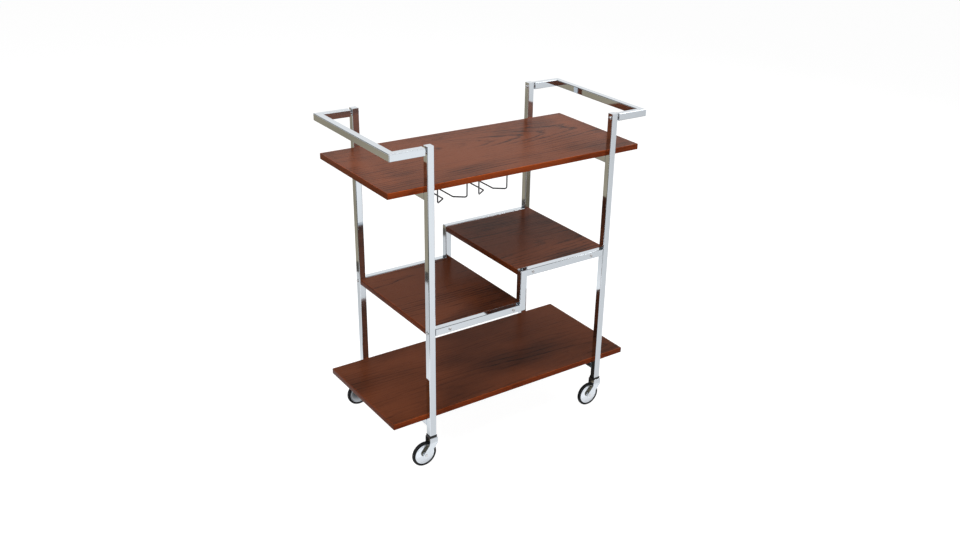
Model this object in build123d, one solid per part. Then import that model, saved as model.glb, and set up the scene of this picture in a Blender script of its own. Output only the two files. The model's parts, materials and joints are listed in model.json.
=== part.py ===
from build123d import *
import os

# Bar cart in millimetres. X runs along the cart, Y from front to rear, Z up from the floor.

# Square steel tube of the frame
TUBE = 20.0                     # outside width
TUBE_WALL = 1.2
TUBE_EDGE = 2.0                 # outside radius of the long edges

# End frames
UPRIGHT_LENGTH = 842.0
BETWEEN_UPRIGHTS = 373.0        # clear depth from front to rear uprights
CAP_THICKNESS = 2.0
PLUG_FIT = 0.05                 # gap around anything pushed into a tube

# Shelf boards
BOARD = 16.5                    # thickness
BOARD_EDGE = 1.0                # radius of the eased edges
SHELF_LENGTH = 820.0            # top and bottom shelves
SHELF_OVERHANG = 103.0          # past the uprights, at each end
SHELF_SIDE_GAP = 0.5            # from a long edge to the uprights
TOP_SHELF_DROP = 108.0          # below the tops of the uprights
BOTTOM_SHELF_RISE = 63.5        # upper face above the feet of the uprights
MIDDLE_SHELF_INSET = 1.5        # ends, inside the faces of uprights and risers

# Step rails that carry the two middle shelves
LOWER_RAIL_RISE = 323.0         # centre line above the feet of the uprights
STEP_RISE = 104.0               # from the lower rail to the upper one
RAIL_STANDOFF = 1.0             # washer between a rail's end and an upright

# Handles
HANDLE_REACH = 106.0            # from an upright to the outside of the grip
HANDLE_STANDOFF = 5.5           # spacer between an arm's end and an upright
HANDLE_DROP = 2.0               # top of a handle below the top of an upright's tube

# Bolts that join handles and rails to the uprights
BOLT_R = 3.0
BOLT_HEAD_R = 5.0
BOLT_HEAD = 3.0
BOLT_HEAD_ROUND = 1.5
BOLT_SOCKET_R = 2.0
BOLT_SOCKET_DEPTH = 1.8
BOLT_HOLE_FIT = 0.2
SPACER_R = 5.5
INSERT_LENGTH = 20.0
BOLT_BITE = 14.0                # length held in an insert
THREAD_FIT = 0.05

# Wood screws
SCREW_R = 2.0
SCREW_HEAD_R = 5.2
SCREW_HEAD = 3.0
SCREW_SLOT = 1.0                # width of the cross recess
SCREW_SLOT_DEPTH = 1.2
SCREW_HOLE_FIT = 0.2
SCREW_COVER = 5.5               # board left above the tip of a screw from below
SCREW_EDGE_BITE = 24.0          # length held in the edge of a middle shelf
CROSSBAR_SCREW_INSET = 27.0     # from an upright to the shelf screw
RAIL_SCREW_FROM_UPRIGHT = 45.0
RAIL_SCREW_FROM_RISER = 32.0    # from the riser's centre line

# Wire hangers for stemmed glasses, under the top shelf
WIRE_R = 2.0
WIRE_BEND = 6.0
HANGER_PITCH = 127.0            # between the two channels
HANGER_SPREAD = 90.0            # between the front posts of a channel
CHANNEL_GAP = 30.0              # between wire centres
HANGER_SETBACK = 23.0           # front posts behind the shelf's front edge
HANGER_FLARE = 22.0             # depth over which the mouth narrows
HANGER_LENGTH = 260.0           # front posts to rear posts
HANGER_DROP = 46.0              # wire centres below the shelf
STRIP = 2.0                     # thickness of the strips that carry the wires
STRIP_WIDTH = 14.0
STRIP_OVERHANG = 6.0            # past the wires' centres
STRIP_SCREW_INSET = 7.5         # from a wire's centre, towards the strip's middle
STRIP_SCREW_R = 1.6
STRIP_SCREW_HEAD_R = 3.4
STRIP_SCREW_HEAD = 1.8

# Casters
WHEEL_D = 75.0
WHEEL_HEADROOM = 18.0           # top of the wheel to the foot of the upright
TRAIL = 25.0                    # axle behind the swivel axis
TYRE = 7.0                      # radial thickness
TYRE_WIDTH = 11.0
TYRE_SHOULDER = 3.5             # radius of its outer edges
TYRE_FIT = 0.05
DISC_INSET = 1.5                # wheel disc inside the tyre's sides, at the rim
DISC_CROWN = 0.8                # further out near the hub
DISC_CROWN_R = 11.0             # where that crown starts
HUB_WALL = 3.0
HUB_END_GAP = 0.3               # to each fork leg
AXLE_R = 3.0
AXLE_FIT = 0.05
AXLE_HEAD_R = 4.5
AXLE_HEAD = 1.2
AXLE_HEAD_ROUND = 0.8
FORK_SHEET = 2.0
FORK_WHEEL_GAP = 5.7            # legs to tyre
FORK_CROWN = 25.0               # length along the cart
FORK_CORNER = 3.0
FORK_BEND = 3.0                 # outside radius from crown to legs
FORK_SHOULDER = 20.0            # straight sides below the crown, before the legs sweep back
FORK_SWEEP_R = 12.0             # inside radius where they do
FORK_END_R = 9.5                # around the axle
SOCKET_FLANGE = 4.0
SOCKET_OVERHANG = 1.5           # flange past the tube, each side
SOCKET_DEPTH = 30.0             # plug inside the tube
RACE = 1.0
RACE_R = 9.0
STEM_R = 4.0
STEM_FIT = 0.05
STEM_TOP_COVER = 4.0            # plug left above the stem
STEM_HEAD_R = 6.5
STEM_HEAD = 2.5
SWIVEL_GAP = 0.2                # crown to race, and crown to stem head

# Heights and places that follow from the sizes above
BORE = TUBE - 2 * TUBE_WALL
FOOT_Z = WHEEL_D + WHEEL_HEADROOM
TOP_Z = FOOT_Z + UPRIGHT_LENGTH
UPRIGHT_Y = (BETWEEN_UPRIGHTS + TUBE) / 2
OUTER_X = SHELF_LENGTH / 2 - SHELF_OVERHANG
UPRIGHT_X = OUTER_X - TUBE / 2
INNER_X = OUTER_X - TUBE
OUTER_Y = UPRIGHT_Y + TUBE / 2
HANDLE_Z = TOP_Z - HANDLE_DROP - TUBE / 2
GRIP_X = OUTER_X + HANDLE_REACH - TUBE / 2
SHELF_DEPTH = BETWEEN_UPRIGHTS - 2 * SHELF_SIDE_GAP
TOP_SHELF_Z = TOP_Z - TOP_SHELF_DROP
TOP_UNDERSIDE_Z = TOP_SHELF_Z - BOARD
BOTTOM_SHELF_Z = FOOT_Z + BOTTOM_SHELF_RISE
LOWER_RAIL_Z = FOOT_Z + LOWER_RAIL_RISE
UPPER_RAIL_Z = LOWER_RAIL_Z + STEP_RISE
RAIL_END_X = INNER_X - RAIL_STANDOFF
RAIL_SCREW_XS = (RAIL_SCREW_FROM_RISER, INNER_X - RAIL_SCREW_FROM_UPRIGHT)
CROSSBAR_SCREW_Y = BETWEEN_UPRIGHTS / 2 - CROSSBAR_SCREW_INSET
HANGER_FRONT_Y = HANGER_SETBACK - SHELF_DEPTH / 2
HANGER_REAR_Y = HANGER_FRONT_Y + HANGER_LENGTH
WIRE_Z = TOP_UNDERSIDE_Z - HANGER_DROP
AXLE_Z = WHEEL_D / 2
RIM_R = AXLE_Z - TYRE
HUB_R = AXLE_R + HUB_WALL
LEG_Y = TYRE_WIDTH / 2 + FORK_WHEEL_GAP
FORK_Y = LEG_Y + FORK_SHEET
RACE_Z = FOOT_Z - SOCKET_FLANGE - RACE
CROWN_Z = RACE_Z - SWIVEL_GAP

CORNERS = {
    "front_left": (-1, -1),
    "front_right": (1, -1),
    "rear_left": (-1, 1),
    "rear_right": (1, 1),
}
SIDES = {"left": -1, "right": 1}
ENDS = {"front": -1, "rear": 1}


def rod(start, direction, radius, length):
    """Round bar from a point along a direction."""
    return extrude(Plane(origin=start, z_dir=direction) * Circle(radius), amount=length)


def block(low, high):
    """Box between two opposite corners."""
    size = Vector(*high) - Vector(*low)
    return Pos(*low) * Box(size.X, size.Y, size.Z, align=(Align.MIN, Align.MIN, Align.MIN))


def straight_tube(start, direction, length):
    """Hollow square tube from a point along a direction."""
    section = RectangleRounded(TUBE, TUBE, TUBE_EDGE) - Rectangle(BORE, BORE)
    return extrude(Plane(origin=start, z_dir=direction) * section, amount=length)


def mitred_tube(points):
    """Hollow square tube along straight runs, mitred at the corners and rounded over its outer edges."""
    places = [Vector(*point) for point in points]
    path = Polyline(*places)
    end = Plane(origin=path @ 0, z_dir=path % 0)
    outside = sweep(end * Rectangle(TUBE, TUBE), path, transition=Transition.RIGHT).clean()
    sharp = []
    for place in (places[0], places[-1]):
        sharp += outside.faces().sort_by_distance(place)[0].edges()
    for before, corner, after in zip(places, places[1:], places[2:]):
        inward = (after - corner).normalized() - (corner - before).normalized()
        sharp += outside.edges().sort_by_distance(corner + inward * (TUBE / 2))[:1]
    outside = fillet([edge for edge in outside.edges() if edge not in sharp], TUBE_EDGE)
    inside = sweep(end * Rectangle(BORE, BORE), path, transition=Transition.RIGHT)
    return outside - inside


def headed_bolt(seat, direction, length):
    """Round-headed bolt with a hexagon socket, its head on the seat and its shank along a direction."""
    plane = Plane(origin=seat, z_dir=direction)
    head = extrude(Circle(BOLT_HEAD_R), amount=-BOLT_HEAD)
    head = fillet(head.edges().sort_by(Axis.Z)[0], BOLT_HEAD_ROUND)
    socket = Pos(0, 0, -BOLT_HEAD) * extrude(RegularPolygon(BOLT_SOCKET_R, 6), amount=BOLT_SOCKET_DEPTH)
    return plane * (head - socket + extrude(Circle(BOLT_R), amount=length))


def wood_screw(seat, direction, length, radius, head_radius, head_height):
    """Dome-headed screw with a cross recess and a pointed tip."""
    plane = Plane(origin=seat, z_dir=direction)
    crown, rim = (0, -head_height), (head_radius, 0)
    dome = TangentArc(crown, rim, tangent=(1, 0))
    head = revolve(Plane.XZ * make_face([dome, Line(rim, (0, 0)), Line((0, 0), crown)]), Axis.Z)
    recess = Rectangle(head_radius, SCREW_SLOT) + Rectangle(SCREW_SLOT, head_radius)
    cross = Pos(0, 0, -head_height) * extrude(recess, amount=min(SCREW_SLOT_DEPTH, head_height / 2))
    shank = extrude(Circle(radius), amount=length - radius)
    tip = Pos(0, 0, length - radius) * Cone(radius, 0, radius, align=(Align.CENTER, Align.CENTER, Align.MIN))
    return plane * (head - cross + shank + tip)


def rail_height(side):
    """Height of the step rail that meets the uprights on this side."""
    return LOWER_RAIL_Z if side < 0 else UPPER_RAIL_Z


def upright(side, end):
    """Corner tube, drilled across for the handle's bolt and the step rail's bolt."""
    tube = straight_tube((side * UPRIGHT_X, end * UPRIGHT_Y, FOOT_Z), (0, 0, 1), UPRIGHT_LENGTH)
    for height in (HANDLE_Z, rail_height(side)):
        start = (side * UPRIGHT_X - TUBE, end * UPRIGHT_Y, height)
        tube -= rod(start, (1, 0, 0), BOLT_R + BOLT_HOLE_FIT, 2 * TUBE)
    return tube


def upright_cap(side, end):
    """Plate that closes the top of an upright."""
    half = BORE / 2 - PLUG_FIT
    x, y = side * UPRIGHT_X, end * UPRIGHT_Y
    return block((x - half, y - half, TOP_Z - CAP_THICKNESS), (x + half, y + half, TOP_Z))


def crossbar(side, underside):
    """Tube under a shelf from the front upright to the rear one, drilled for the shelf's screws."""
    centre = underside - TUBE / 2
    tube = straight_tube((side * UPRIGHT_X, -BETWEEN_UPRIGHTS / 2, centre), (0, 1, 0), BETWEEN_UPRIGHTS)
    for end in ENDS.values():
        start = (side * UPRIGHT_X, end * CROSSBAR_SCREW_Y, centre - TUBE)
        tube -= rod(start, (0, 0, 1), SCREW_R + SCREW_HOLE_FIT, 2 * TUBE)
    return tube


def crossbar_screw(side, end, underside):
    """Screw from below, through a crossbar into the shelf on it."""
    seat = (side * UPRIGHT_X, end * CROSSBAR_SCREW_Y, underside - TUBE)
    length = TUBE + BOARD - SCREW_COVER
    return wood_screw(seat, (0, 0, 1), length, SCREW_R, SCREW_HEAD_R, SCREW_HEAD)


def long_shelf(upper_face):
    """Top or bottom shelf, with holes for the screws in its underside."""
    half_x, half_y = SHELF_LENGTH / 2, SHELF_DEPTH / 2
    underside = upper_face - BOARD
    board = block((-half_x, -half_y, underside), (half_x, half_y, upper_face))
    board = fillet(board.edges(), BOARD_EDGE)
    for side, end in CORNERS.values():
        start = (side * UPRIGHT_X, end * CROSSBAR_SCREW_Y, underside)
        board -= rod(start, (0, 0, 1), SCREW_R + THREAD_FIT, BOARD - SCREW_COVER)
    return board


def top_shelf():
    """Top shelf, which also takes the screws of the glass hangers."""
    board = long_shelf(TOP_SHELF_Z)
    for x, y in strip_screw_places():
        board -= rod((x, y, TOP_UNDERSIDE_Z), (0, 0, 1), STRIP_SCREW_R + THREAD_FIT, BOARD - SCREW_COVER)
    return board


def middle_shelf(side):
    """Shelf between the front and rear step rails, from the uprights to the risers."""
    far = side * (OUTER_X - MIDDLE_SHELF_INSET)
    near = -side * (TUBE / 2 - MIDDLE_SHELF_INSET)
    half_y = BETWEEN_UPRIGHTS / 2
    centre = rail_height(side)
    board = block((min(far, near), -half_y, centre - BOARD / 2), (max(far, near), half_y, centre + BOARD / 2))
    board = fillet(board.edges(), BOARD_EDGE)
    for end in ENDS.values():
        for x in RAIL_SCREW_XS:
            start = (side * x, end * half_y, centre)
            board -= rod(start, (0, -end, 0), SCREW_R + THREAD_FIT, SCREW_EDGE_BITE)
    return board


def step_rail(end):
    """Rail that steps up at the cart's middle, drilled for the middle shelves' screws."""
    y = end * UPRIGHT_Y
    tube = mitred_tube([
        (-RAIL_END_X, y, LOWER_RAIL_Z),
        (0, y, LOWER_RAIL_Z),
        (0, y, UPPER_RAIL_Z),
        (RAIL_END_X, y, UPPER_RAIL_Z),
    ])
    for side in SIDES.values():
        for x in RAIL_SCREW_XS:
            start = (side * x, y - TUBE, rail_height(side))
            tube -= rod(start, (0, 1, 0), SCREW_R + SCREW_HOLE_FIT, 2 * TUBE)
    return tube


def middle_shelf_screws():
    """Screws through the step rails into the edges of the middle shelves."""
    screws = []
    for end in ENDS.values():
        for side in SIDES.values():
            for x in RAIL_SCREW_XS:
                seat = (side * x, end * OUTER_Y, rail_height(side))
                length = TUBE + SCREW_EDGE_BITE
                screws.append(wood_screw(seat, (0, -end, 0), length, SCREW_R, SCREW_HEAD_R, SCREW_HEAD))
    return screws


def end_insert(face, direction):
    """Threaded block just inside the open end of a tube."""
    section = Rectangle(BORE - 2 * PLUG_FIT, BORE - 2 * PLUG_FIT) - Circle(BOLT_R + THREAD_FIT)
    return extrude(Plane(origin=face, z_dir=direction) * section, amount=INSERT_LENGTH)


def bolt_spacer(face, direction, length):
    """Spacer on a bolt, between an upright and the tube bolted to it."""
    section = Circle(SPACER_R) - Circle(BOLT_R + BOLT_HOLE_FIT)
    return extrude(Plane(origin=face, z_dir=direction) * section, amount=length)


def handle(side):
    """Push handle: two arms and a grip."""
    arm_x = OUTER_X + HANDLE_STANDOFF
    return mitred_tube([
        (side * arm_x, -UPRIGHT_Y, HANDLE_Z),
        (side * GRIP_X, -UPRIGHT_Y, HANDLE_Z),
        (side * GRIP_X, UPRIGHT_Y, HANDLE_Z),
        (side * arm_x, UPRIGHT_Y, HANDLE_Z),
    ])


def handle_joint(side, end):
    """Insert, spacer and bolt that hold one arm of a handle."""
    y = end * UPRIGHT_Y
    out = (side, 0, 0)
    insert = end_insert((side * (OUTER_X + HANDLE_STANDOFF), y, HANDLE_Z), out)
    spacer = bolt_spacer((side * OUTER_X, y, HANDLE_Z), out, HANDLE_STANDOFF)
    bolt = headed_bolt((side * INNER_X, y, HANDLE_Z), out, TUBE + HANDLE_STANDOFF + BOLT_BITE)
    return insert, spacer, bolt


def rail_joint(side, end):
    """Insert, washer and bolt that hold one end of a step rail."""
    y, z = end * UPRIGHT_Y, rail_height(side)
    inward = (-side, 0, 0)
    insert = end_insert((side * RAIL_END_X, y, z), inward)
    washer = bolt_spacer((side * INNER_X, y, z), inward, RAIL_STANDOFF)
    bolt = headed_bolt((side * OUTER_X, y, z), inward, TUBE + RAIL_STANDOFF + BOLT_BITE)
    return insert, washer, bolt


def hanger_centre(side):
    """Middle of a glass channel: the pair is centred over the lower middle shelf's bay."""
    return -INNER_X / 2 + side * HANGER_PITCH / 2


def hanger_wires(side):
    """The two wires of one glass channel: front post, flared mouth, run, rear post."""
    wires = []
    top = TOP_UNDERSIDE_Z - STRIP
    for hand in SIDES.values():
        post_x = hanger_centre(side) + hand * HANGER_SPREAD / 2
        run_x = hanger_centre(side) + hand * CHANNEL_GAP / 2
        path = FilletPolyline(
            (post_x, HANGER_FRONT_Y, top),
            (post_x, HANGER_FRONT_Y, WIRE_Z),
            (run_x, HANGER_FRONT_Y + HANGER_FLARE, WIRE_Z),
            (run_x, HANGER_REAR_Y, WIRE_Z),
            (run_x, HANGER_REAR_Y, top),
            radius=WIRE_BEND,
        )
        wires.append(sweep(Plane(origin=path @ 0, z_dir=path % 0) * Circle(WIRE_R), path))
    return wires


def strip_rows(side):
    """Centre of each strip of a channel, and half the spread of the wires on it."""
    front = (HANGER_FRONT_Y, HANGER_SPREAD / 2)
    rear = (HANGER_REAR_Y, CHANNEL_GAP / 2)
    return [(hanger_centre(side), y, spread) for y, spread in (front, rear)]


def strip_screw_places():
    """Centres of all the screws that hold the hangers' strips."""
    places = []
    for side in SIDES.values():
        for centre, y, spread in strip_rows(side):
            reach = spread - STRIP_SCREW_INSET
            places += [(centre - reach, y), (centre + reach, y)]
    return places


def hanger_strips():
    """Flat strips under the top shelf, one at each end of each channel."""
    strips = []
    for side in SIDES.values():
        for centre, y, spread in strip_rows(side):
            half = spread + STRIP_OVERHANG
            low = (centre - half, y - STRIP_WIDTH / 2, TOP_UNDERSIDE_Z - STRIP)
            strip = block(low, (centre + half, y + STRIP_WIDTH / 2, TOP_UNDERSIDE_Z))
            for hand in SIDES.values():
                start = (centre + hand * (spread - STRIP_SCREW_INSET), y, TOP_UNDERSIDE_Z - 2 * STRIP)
                strip -= rod(start, (0, 0, 1), STRIP_SCREW_R + SCREW_HOLE_FIT, 3 * STRIP)
            strips.append(strip)
    return strips


def hanger_screws():
    """Screws from below, through the strips into the top shelf."""
    length = STRIP + BOARD - SCREW_COVER
    return [
        wood_screw((x, y, TOP_UNDERSIDE_Z - STRIP), (0, 0, 1), length,
                   STRIP_SCREW_R, STRIP_SCREW_HEAD_R, STRIP_SCREW_HEAD)
        for x, y in strip_screw_places()
    ]


def caster_socket():
    """Plastic plug in the foot of an upright, with a flange under it and a bore for the stem."""
    flange_half = TUBE / 2 + SOCKET_OVERHANG
    plug_half = BORE / 2 - PLUG_FIT
    flange = extrude(RectangleRounded(2 * flange_half, 2 * flange_half, TUBE_EDGE), amount=-SOCKET_FLANGE)
    plug = extrude(Rectangle(2 * plug_half, 2 * plug_half), amount=SOCKET_DEPTH)
    bore_length = SOCKET_FLANGE + SOCKET_DEPTH - STEM_TOP_COVER
    bore = rod((0, 0, -SOCKET_FLANGE), (0, 0, 1), STEM_R + STEM_FIT, bore_length)
    return Pos(0, 0, FOOT_Z) * (flange + plug - bore)


def caster_race():
    """Thrust ring between the socket's flange and the fork."""
    ring = Circle(RACE_R) - Circle(STEM_R + STEM_FIT)
    return Pos(0, 0, RACE_Z) * extrude(ring, amount=RACE)


def caster_stem():
    """Swivel pin: held in the socket, with a head that keeps the fork on."""
    head_top = CROWN_Z - FORK_SHEET - SWIVEL_GAP
    top = FOOT_Z + SOCKET_DEPTH - STEM_TOP_COVER
    head = rod((0, 0, head_top - STEM_HEAD), (0, 0, 1), STEM_HEAD_R, STEM_HEAD)
    return head + rod((0, 0, head_top), (0, 0, 1), STEM_R, top - head_top)


def fork_outline():
    """Side view of the fork: straight shoulders under the crown, then swept back and down to the axle."""
    half = FORK_CROWN / 2
    waist_z = CROWN_Z - FORK_SHOULDER
    shoulders = Pos(0, waist_z + FORK_SHOULDER / 2) * Rectangle(FORK_CROWN, FORK_SHOULDER)
    eye = Pos(-TRAIL, AXLE_Z) * Circle(FORK_END_R)
    outline = shoulders + make_hull([Line((-half, waist_z), (half, waist_z)), *eye.edges()])
    outline = fillet(outline.vertices().sort_by_distance((-half, waist_z))[0], FORK_SWEEP_R)
    corners = [(half, waist_z), (half, CROWN_Z), (-half, CROWN_Z)]
    return fillet([outline.vertices().sort_by_distance(corner)[0] for corner in corners], FORK_CORNER)


def caster_fork():
    """Fork bent from sheet: a crown and two legs."""
    prism = extrude(Plane.XZ * fork_outline(), amount=FORK_Y, both=True)
    span = 2 * (TRAIL + FORK_CROWN)
    body = block((-span, -FORK_Y, 0), (span, FORK_Y, CROWN_Z))
    bends = body.edges().filter_by(Axis.X).group_by(Axis.Z)[-1]
    body = fillet(bends, FORK_BEND)
    body -= block((-span, -LEG_Y, 0), (span, LEG_Y, CROWN_Z - FORK_SHEET))
    fork = body & prism
    fork -= rod((0, 0, 0), (0, 0, 1), STEM_R + STEM_FIT, FOOT_Z)
    fork -= rod((-TRAIL, -FORK_Y, AXLE_Z), (0, 1, 0), AXLE_R + AXLE_FIT, 2 * FORK_Y)
    return fork


def caster_axle():
    """Axle pin with a round head outside each leg of the fork."""
    pin = rod((-TRAIL, -FORK_Y, AXLE_Z), (0, 1, 0), AXLE_R, 2 * FORK_Y)
    for end in ENDS.values():
        head = extrude(Circle(AXLE_HEAD_R), amount=AXLE_HEAD)
        head = fillet(head.edges().sort_by(Axis.Z)[-1], AXLE_HEAD_ROUND)
        pin += Plane(origin=(-TRAIL, end * FORK_Y, AXLE_Z), z_dir=(0, end, 0)) * head
    return pin


def wheel_plane():
    """Plane of a wheel's half section: its X is the radius and its Y the axle."""
    return Plane(origin=(-TRAIL, 0, AXLE_Z), x_dir=(1, 0, 0), z_dir=(0, 0, 1))


def wheel_axis():
    """Axle line of a wheel."""
    return Axis((-TRAIL, 0, AXLE_Z), (0, 1, 0))


def caster_wheel():
    """Wheel disc with its hub, bored for the axle."""
    hub_y = LEG_Y - HUB_END_GAP
    rim_y = TYRE_WIDTH / 2 - DISC_INSET
    crown_y = rim_y + DISC_CROWN
    bore_r = AXLE_R + AXLE_FIT
    half = [(bore_r, hub_y), (HUB_R, hub_y), (HUB_R, crown_y), (DISC_CROWN_R, crown_y), (RIM_R, rim_y)]
    mirrored = [(radius, -y) for radius, y in reversed(half)]
    return revolve(wheel_plane() * make_face(Polyline(*half, *mirrored, close=True)), wheel_axis())


def caster_tyre():
    """Rubber tyre around the wheel disc, round at its outer edges."""
    low = RIM_R + TYRE_FIT
    ring = Pos((low + AXLE_Z) / 2, 0) * Rectangle(AXLE_Z - low, TYRE_WIDTH)
    ring = fillet(ring.vertices().group_by(Axis.X)[-1], TYRE_SHOULDER)
    return revolve(wheel_plane() * ring, wheel_axis())


CASTER_PIECES = {
    "socket": caster_socket,
    "race": caster_race,
    "stem": caster_stem,
    "fork": caster_fork,
    "axle": caster_axle,
    "wheel": caster_wheel,
    "tyre": caster_tyre,
}


def casters():
    """Every caster's pieces, each caster standing under its upright."""
    nodes = {}
    for piece, make in CASTER_PIECES.items():
        shape = make()
        for corner, (side, end) in CORNERS.items():
            nodes[f"{corner}_caster_{piece}"] = Pos(side * UPRIGHT_X, end * UPRIGHT_Y, 0) * shape
    return nodes


def frame_nodes():
    """Uprights with their caps, crossbars, step rails, handles and their bolted joints."""
    nodes = {f"{corner}_upright": upright(*signs) for corner, signs in CORNERS.items()}
    nodes["upright_caps"] = [upright_cap(*signs) for signs in CORNERS.values()]
    for name, side in SIDES.items():
        nodes[f"{name}_top_crossbar"] = crossbar(side, TOP_UNDERSIDE_Z)
        nodes[f"{name}_bottom_crossbar"] = crossbar(side, BOTTOM_SHELF_Z - BOARD)
        nodes[f"{name}_handle"] = handle(side)
    for name, end in ENDS.items():
        nodes[f"{name}_step_rail"] = step_rail(end)
    for name, joint in (("handle", handle_joint), ("step_rail", rail_joint)):
        inserts, spacers, bolts = zip(*(joint(*signs) for signs in CORNERS.values()))
        nodes[f"{name}_inserts"] = list(inserts)
        nodes[f"{name}_spacers"] = list(spacers)
        nodes[f"{name}_bolts"] = list(bolts)
    return nodes


def shelf_nodes():
    """Shelves, their screws and the glass hangers."""
    bottom_underside = BOTTOM_SHELF_Z - BOARD
    nodes = {
        "top_shelf": top_shelf(),
        "bottom_shelf": long_shelf(BOTTOM_SHELF_Z),
        "lower_middle_shelf": middle_shelf(SIDES["left"]),
        "upper_middle_shelf": middle_shelf(SIDES["right"]),
        "top_shelf_screws": [crossbar_screw(*signs, TOP_UNDERSIDE_Z) for signs in CORNERS.values()],
        "bottom_shelf_screws": [crossbar_screw(*signs, bottom_underside) for signs in CORNERS.values()],
        "middle_shelf_screws": middle_shelf_screws(),
        "glass_hanger_strips": hanger_strips(),
        "glass_hanger_screws": hanger_screws(),
    }
    for name, side in SIDES.items():
        nodes[f"{name}_glass_hanger"] = hanger_wires(side)
    return nodes


os.makedirs("parts", exist_ok=True)
for node, shape in {**frame_nodes(), **shelf_nodes(), **casters()}.items():
    pieces = shape if isinstance(shape, list) else [shape]
    solids = [solid for piece in pieces for solid in piece.solids()]
    export_step(Compound(children=solids), f"parts/{node}.step")
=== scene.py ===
import json
import math

import bpy
from bpy.props import FloatProperty, FloatVectorProperty, PointerProperty
from bpy.types import Operator, Panel, PropertyGroup
from mathutils import Matrix, Vector


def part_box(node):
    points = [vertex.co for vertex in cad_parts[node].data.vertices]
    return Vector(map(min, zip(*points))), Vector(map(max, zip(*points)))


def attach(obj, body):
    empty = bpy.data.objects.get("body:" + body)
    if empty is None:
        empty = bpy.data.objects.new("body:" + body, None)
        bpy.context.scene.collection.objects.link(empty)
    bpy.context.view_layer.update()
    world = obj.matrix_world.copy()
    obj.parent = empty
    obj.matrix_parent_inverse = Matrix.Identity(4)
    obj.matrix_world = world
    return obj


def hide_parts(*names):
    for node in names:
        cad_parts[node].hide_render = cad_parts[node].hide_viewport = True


bl_info = {
    "name": "Bar Cart",
    "version": (1, 0, 0),
    "blender": (4, 5, 0),
    "location": "View3D > Sidebar > Bar Cart",
    "description": "Gives the bar cart its boards, wheels and finishes and sets it in a plain studio",
    "category": "Object",
}

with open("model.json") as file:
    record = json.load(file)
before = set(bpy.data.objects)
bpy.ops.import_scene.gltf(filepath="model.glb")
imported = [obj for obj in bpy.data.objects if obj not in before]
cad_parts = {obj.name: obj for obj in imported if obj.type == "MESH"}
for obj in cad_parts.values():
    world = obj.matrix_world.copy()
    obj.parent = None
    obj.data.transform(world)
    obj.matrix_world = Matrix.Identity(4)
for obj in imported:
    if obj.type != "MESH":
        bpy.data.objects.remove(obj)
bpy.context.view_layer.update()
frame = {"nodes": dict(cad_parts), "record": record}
NODES = frame["nodes"]
SLOTS = {row["node"]: row["material_slot"] for row in frame["record"]["subparts"]}
CORNERS = ("front_left", "front_right", "rear_left", "rear_right")
FRAME_WIDTH = 960               # pixels of the view that the camera's shift is measured in
FRAME_HEIGHT = 540
SMOOTH_ANGLE = math.radians(35)
COLOUR_INPUTS = (0, 6, 7)       # sockets of a Mix node that mix colours: factor, first, second
COLOUR_OUTPUT = 2
WHITE = (1, 1, 1, 1)
BLACK = (0, 0, 0, 1)


def colour(name, description, default):
    """Colour property."""
    return FloatVectorProperty(
        name=name, description=description, default=default, subtype="COLOR", size=3, min=0, max=1)


def length(name, description, default):
    """Length property, in metres."""
    return FloatProperty(name=name, description=description, default=default, unit="LENGTH", precision=5)


def power(name, description, default):
    """Lamp power property, in watts."""
    return FloatProperty(name=name, description=description, default=default, unit="POWER")


def brightness(name, description, default):
    """Brightness property, where 1 is white."""
    return FloatProperty(name=name, description=description, default=default)


class CartSizes(PropertyGroup):
    """Sizes of what is modelled here."""

    arris: length("Arris", "Rounding along the edges of the boards", 0.0010)
    lip: length("Lipping", "Thickness of the edge strips, seen around a board's face", 0.0006)
    ring_pitch: length("Ring pitch", "Spacing of the growth rings in the veneer", 0.0120)
    tyre_shoulder: length("Tyre shoulder", "Rounding of a tyre's outer edges", 0.0035)
    tyre_lip: length("Tyre lip", "Chamfer of a tyre's inner edges", 0.0010)
    disc_face: length("Disc face", "Half thickness of a wheel disc at its rim", 0.0041)
    disc_crown: length("Disc crown", "Half thickness of a wheel disc near its hub", 0.0048)
    disc_bead: length("Disc bead", "Width of the rolled bead at a disc's rim", 0.0018)
    disc_groove: length("Disc groove", "Depth of the groove inside that bead", 0.0003)
    hub_radius: length("Hub radius", "Outside of the hub tube", 0.0060)
    hub_bore: length("Hub bore", "Hole for the axle", 0.00305)
    fork_sheet: length("Fork sheet", "Thickness of the fork's plate", 0.0020)


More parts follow.
